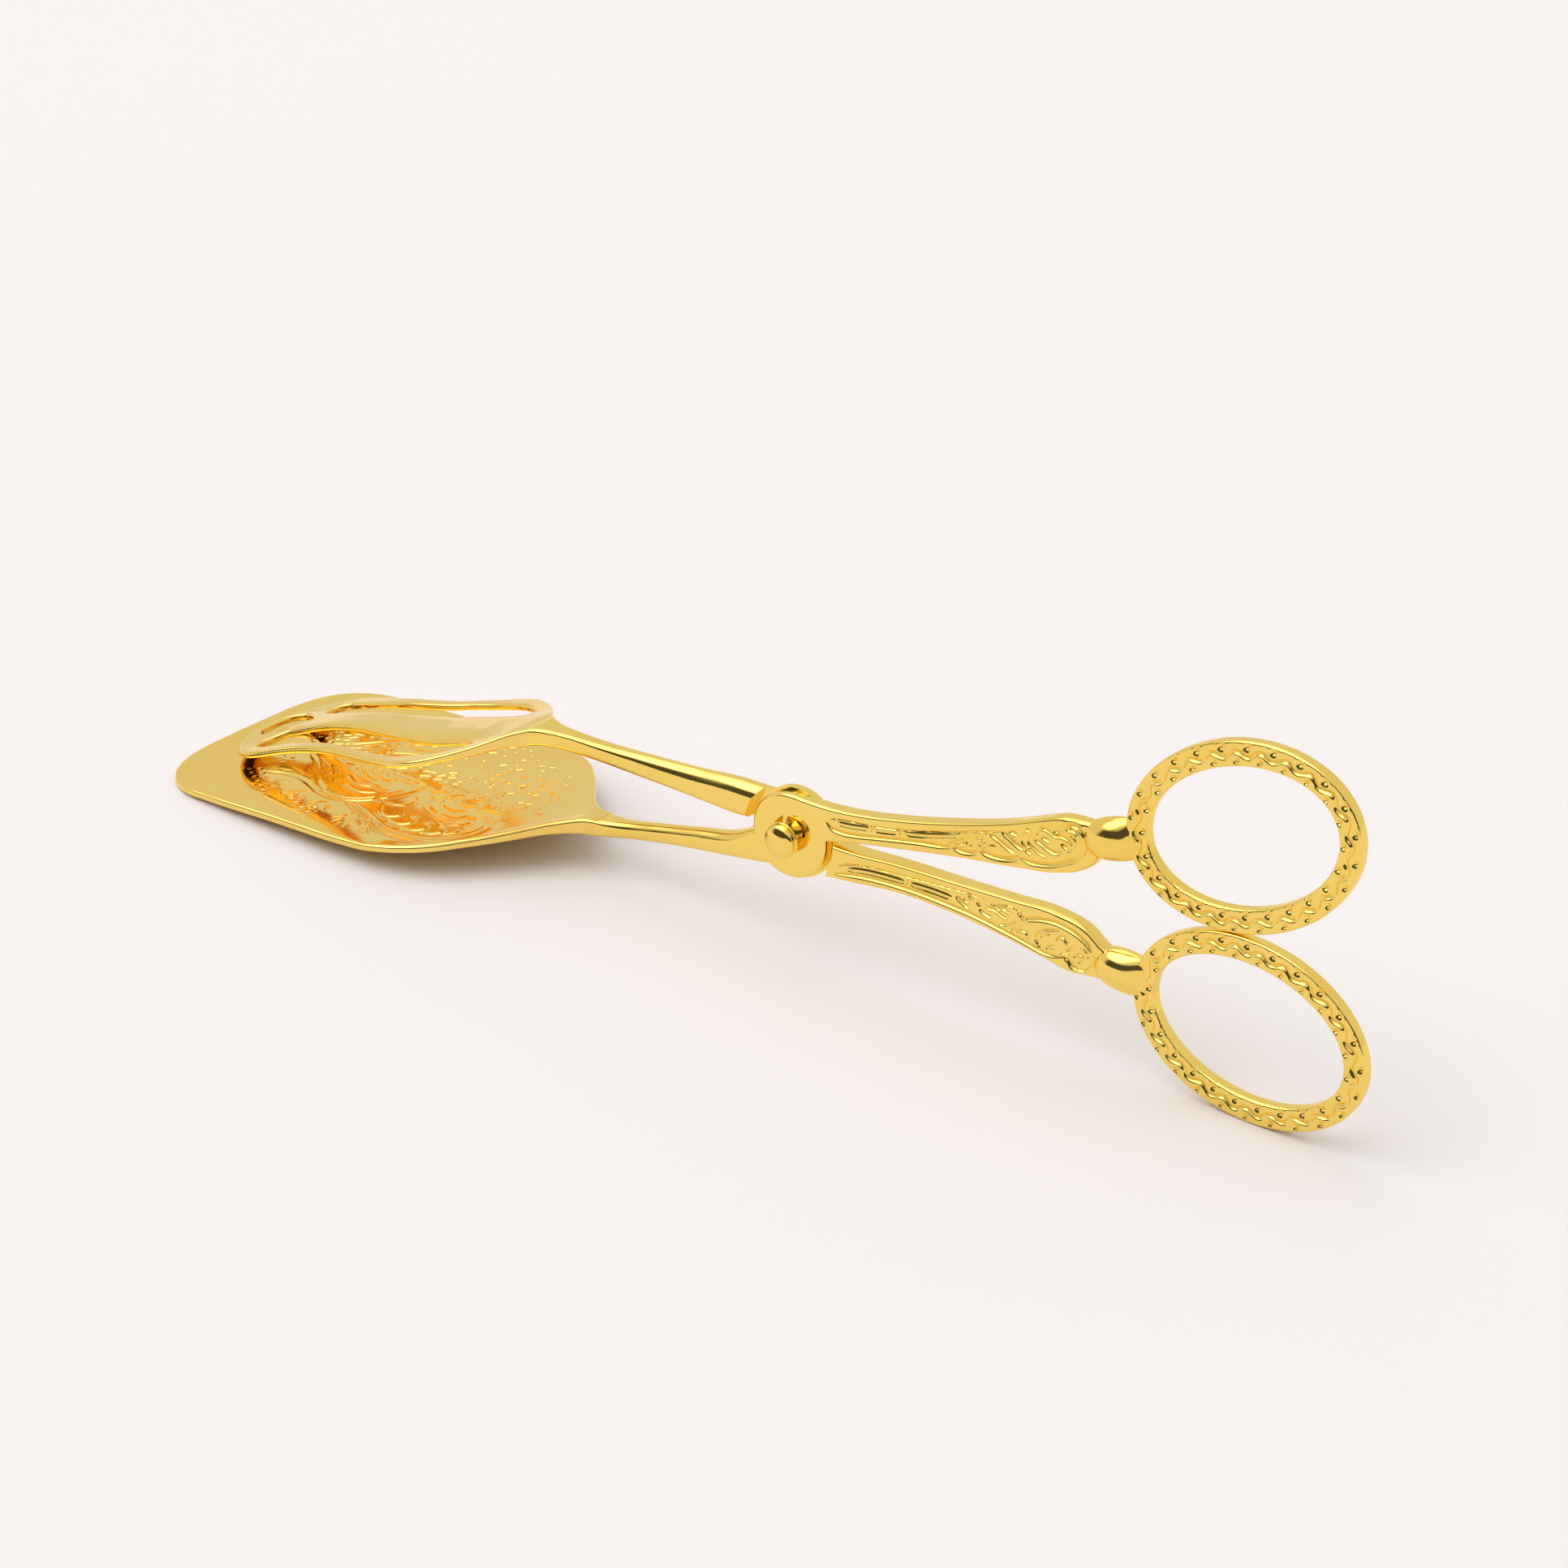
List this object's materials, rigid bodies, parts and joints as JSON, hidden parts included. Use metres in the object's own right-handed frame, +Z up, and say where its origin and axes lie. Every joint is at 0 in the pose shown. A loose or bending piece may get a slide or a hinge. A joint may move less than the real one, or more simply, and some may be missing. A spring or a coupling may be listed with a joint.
{
  "type": "serving tongs",
  "caption": "Scissor-action pastry serving tongs: a solid spade blade and an openwork jaw on two crossed levers with engraved handles and oval finger rings.",
  "frame": {"origin": "on the ground under the middle of the closed tongs' bounding box, with the tongs lying as they rest on a table: front of the blade and lower ring down", "axes": "+X from the jaws to the finger rings, +Y along the pivot axis, +Z up"},
  "size_m": [0.2102, 0.0482, 0.0571],
  "materials": {
    "blade_lever": "polished gold plate",
    "jaw_lever": "polished gold plate",
    "spade_blade": "polished gold plate",
    "openwork_jaw": "polished gold plate",
    "pivot_rivet": "polished gold plate",
    "pivot_washer": "polished gold plate"
  },
  "bodies": {
    "blade_side": {"blade_lever": "blade_lever", "spade_blade": "spade_blade", "pivot_rivet": "pivot_rivet", "pivot_washer": "pivot_washer"},
    "jaw_side": {"jaw_lever": "jaw_lever", "openwork_jaw": "openwork_jaw"}
  },
  "joints": [
    {"name": "pivot", "type": "hinge", "parent": "blade_side", "child": "jaw_side", "pos_m": [0.009, 0, 0.01865], "axis": [0, 1, 0], "range_deg": [0, 50]}
  ]
}
